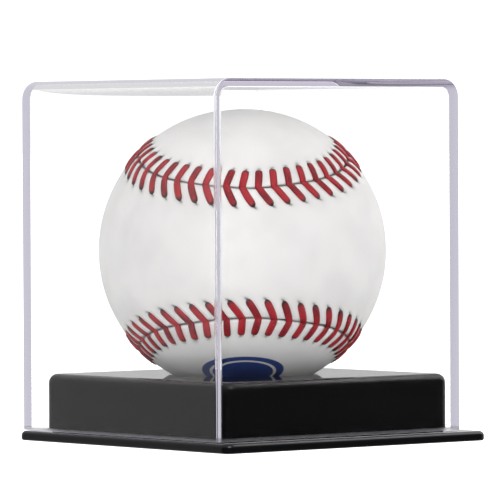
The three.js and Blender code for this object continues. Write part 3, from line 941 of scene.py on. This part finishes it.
class CASE_OT_stage(bpy.types.Operator):
    """Set the floor, the studio light and the camera"""

    bl_idname = "case.stage"
    bl_label = "Stage"

    AZIMUTH, DISTANCE, HEIGHT = math.radians(-39.364), 1.337812, 0.07776
    YAW, PITCH, ROLL = math.radians(0.01), math.radians(1.202), math.radians(-0.278)
    LENS = 369.175
    SEEN, SCATTERED = 1.35, 4.6  # the room's brightness when seen, and at its brightest when scattered

    def execute(self, context):
        scene = context.scene
        scene.view_settings.view_transform = "Standard"
        self.floor(scene)
        self.world(scene)
        self.lamp(scene, "key", (-0.55, -0.9, 1.25), 0.9, 9.0)
        self.lamp(scene, "fill", (1.1, -0.2, 0.9), 0.9, 4.0)
        self.camera(scene)
        return {"FINISHED"}

    def floor(self, scene):
        """A wide white sheet, lit from within so that it stays pale all over."""
        material, tree, output = new_material("White paper")
        sheet = add(
            tree, "ShaderNodeBsdfPrincipled",
            inputs={
                "Base Color": grey(0.8), "Roughness": 1.0, "Specular IOR Level": 0.0,
                "Emission Color": grey(1.0), "Emission Strength": 0.9,
            },
        )
        # The sheet shows when looked at, and light that has met a piece goes on to the room beyond it.
        path = add(tree, "ShaderNodeLightPath")
        met = maths(tree, "ADD", path.outputs["Glossy Depth"], path.outputs["Diffuse Depth"])
        gone = maths(tree, "GREATER_THAN", met, 0.5)
        clear = add(tree, "ShaderNodeBsdfTransparent")
        surface = add(
            tree, "ShaderNodeMixShader",
            inputs={0: gone, 1: sheet.outputs["BSDF"], 2: clear.outputs["BSDF"]},
        )
        tree.links.new(surface.outputs["Shader"], output.inputs["Surface"])
        mesh = bpy.data.meshes.new("floor")
        reach = 30.0
        corners = [(-reach, -reach, 0), (reach, -reach, 0), (reach, reach, 0), (-reach, reach, 0)]
        mesh.from_pydata(corners, [], [(0, 1, 2, 3)])
        mesh.materials.append(material)
        floor = bpy.data.objects.new("floor", mesh)
        scene.collection.objects.link(floor)

    def world(self, scene):
        """A room with a brightness of its own for light seen, light mirrored and light scattered.

        Seen, it is plain white. Mirrored, it is bright beyond the object, less so overhead, and almost
        black at the sides and towards the camera. Scattered, it is brightest at and just below the
        horizon.
        """
        world = bpy.data.worlds.new("Studio")
        scene.world = world
        world.use_nodes = True
        tree = world.node_tree
        tree.nodes.clear()
        path = add(tree, "ShaderNodeLightPath")
        way = add(tree, "ShaderNodeTexCoord").outputs["Generated"]
        away = (-math.sin(self.AZIMUTH), math.cos(self.AZIMUTH), 0.0)
        behind = add(
            tree, "ShaderNodeVectorMath", {"operation": "DOT_PRODUCT"}, {0: way, 1: away}
        ).outputs["Value"]
        turned = maths(tree, "MULTIPLY_ADD", behind, 0.5, 0.5)
        sweep = ramp(
            tree, turned, (0.38, grey(0.02)), (0.5, grey(0.05)), (0.60, grey(0.26)),
            (0.70, grey(0.34)), (0.85, grey(0.75)),
        )
        height = add(tree, "ShaderNodeSeparateXYZ", inputs={"Vector": way}).outputs["Z"]
        above = add(
            tree, "ShaderNodeMapRange",
            inputs={"Value": height, "From Min": 0.25, "From Max": 0.8, "To Max": 0.45},
        ).outputs["Result"]
        room = maths(tree, "MAXIMUM", sweep, above)
        # Most of the scattered light comes from a band at and just below the horizon, which sends some
        # of it up to the ball's underside.
        level = maths(tree, "MULTIPLY_ADD", height, 0.5, 0.5)
        share = ramp(
            tree, level, (0.28, grey(0.10)), (0.36, grey(0.25)), (0.385, grey(1.0)), (0.52, grey(1.0)),
            (0.55, grey(0.30)), (0.65, grey(0.15)), (0.80, grey(0.15)), (0.95, grey(0.25)),
        )
        soft = maths(tree, "MULTIPLY", share, self.SCATTERED)
        mirrored = maths(tree, "GREATER_THAN", path.outputs["Glossy Depth"], 0.5)
        scattered = maths(tree, "GREATER_THAN", path.outputs["Diffuse Depth"], 0.5)
        seen = add(
            tree, "ShaderNodeMix", {"data_type": "FLOAT"}, {0: mirrored, 2: self.SEEN, 3: room}
        ).outputs[0]
        strength = add(
            tree, "ShaderNodeMix", {"data_type": "FLOAT"}, {0: scattered, 2: seen, 3: soft}
        ).outputs[0]
        background = add(tree, "ShaderNodeBackground", inputs={"Color": grey(1.0), "Strength": strength})
        output = add(tree, "ShaderNodeOutputWorld")
        tree.links.new(background.outputs["Background"], output.inputs["Surface"])

    def lamp(self, scene, name, place, size, power):
        """A large square soft box that looks at the ball."""
        light = bpy.data.lights.new(name, "AREA")
        light.shape, light.size, light.energy = "SQUARE", size, power
        lamp = bpy.data.objects.new(name, light)
        scene.collection.objects.link(lamp)
        lamp.location = place
        lamp.rotation_euler = (Vector(BALL_MIDDLE) - Vector(place)).to_track_quat("-Z", "Y").to_euler()

    def camera(self, scene):
        """A long lens a little above the riser, looking slightly down."""
        turn = self.AZIMUTH + self.YAW
        ahead = np.array([-math.sin(turn), math.cos(turn), 0]) * math.cos(self.PITCH)
        ahead[2] = -math.sin(self.PITCH)
        right = np.cross(ahead, [0, 0, 1])
        right /= np.linalg.norm(right)
        up = np.cross(right, ahead)
        across = right * math.cos(self.ROLL) + up * math.sin(self.ROLL)
        upright = up * math.cos(self.ROLL) - right * math.sin(self.ROLL)
        lens = bpy.data.cameras.new("camera")
        lens.sensor_width, lens.lens = 36.0, self.LENS
        lens.clip_start, lens.clip_end = 0.05, 60.0
        camera = bpy.data.objects.new("camera", lens)
        scene.collection.objects.link(camera)
        place = Matrix(np.column_stack([across, upright, -ahead]).tolist()).to_4x4()
        place.translation = (
            math.sin(self.AZIMUTH) * self.DISTANCE, -math.cos(self.AZIMUTH) * self.DISTANCE, self.HEIGHT
        )
        camera.matrix_world = place
        scene.camera = camera


class CASE_PT_panel(bpy.types.Panel):
    """Lists the settings and the pieces"""

    bl_idname = "CASE_PT_panel"
    bl_label = "Display Case"
    bl_space_type = "VIEW_3D"
    bl_region_type = "UI"
    bl_category = "Display Case"

    def draw(self, context):
        for owner in (context.scene.case_base, context.scene.case_cover, context.scene.case_ball):
            box = self.layout.box()
            for name in owner.__annotations__:
                box.prop(owner, name)
        for operator in OPERATORS:
            self.layout.operator(operator.bl_idname)


GROUPS = {"case_base": CASE_PG_base, "case_cover": CASE_PG_cover, "case_ball": CASE_PG_ball}
OPERATORS = (
    CASE_OT_stage, CASE_OT_plate, CASE_OT_riser, CASE_OT_cover, CASE_OT_leather, CASE_OT_stitches,
    CASE_OT_core,
)


def register():
    for group in GROUPS.values():
        bpy.utils.register_class(group)
    for operator in OPERATORS:
        bpy.utils.register_class(operator)
    bpy.utils.register_class(CASE_PT_panel)
    for name, group in GROUPS.items():
        setattr(bpy.types.Scene, name, bpy.props.PointerProperty(type=group))


def unregister():
    for name in GROUPS:
        delattr(bpy.types.Scene, name)
    for made in (CASE_PT_panel, *reversed(OPERATORS), *reversed(GROUPS.values())):
        bpy.utils.unregister_class(made)


def main():
    register()
    for operator in OPERATORS:
        group, name = operator.bl_idname.split(".")
        getattr(getattr(bpy.ops, group), name)()


if __name__ == "__main__":
    main()
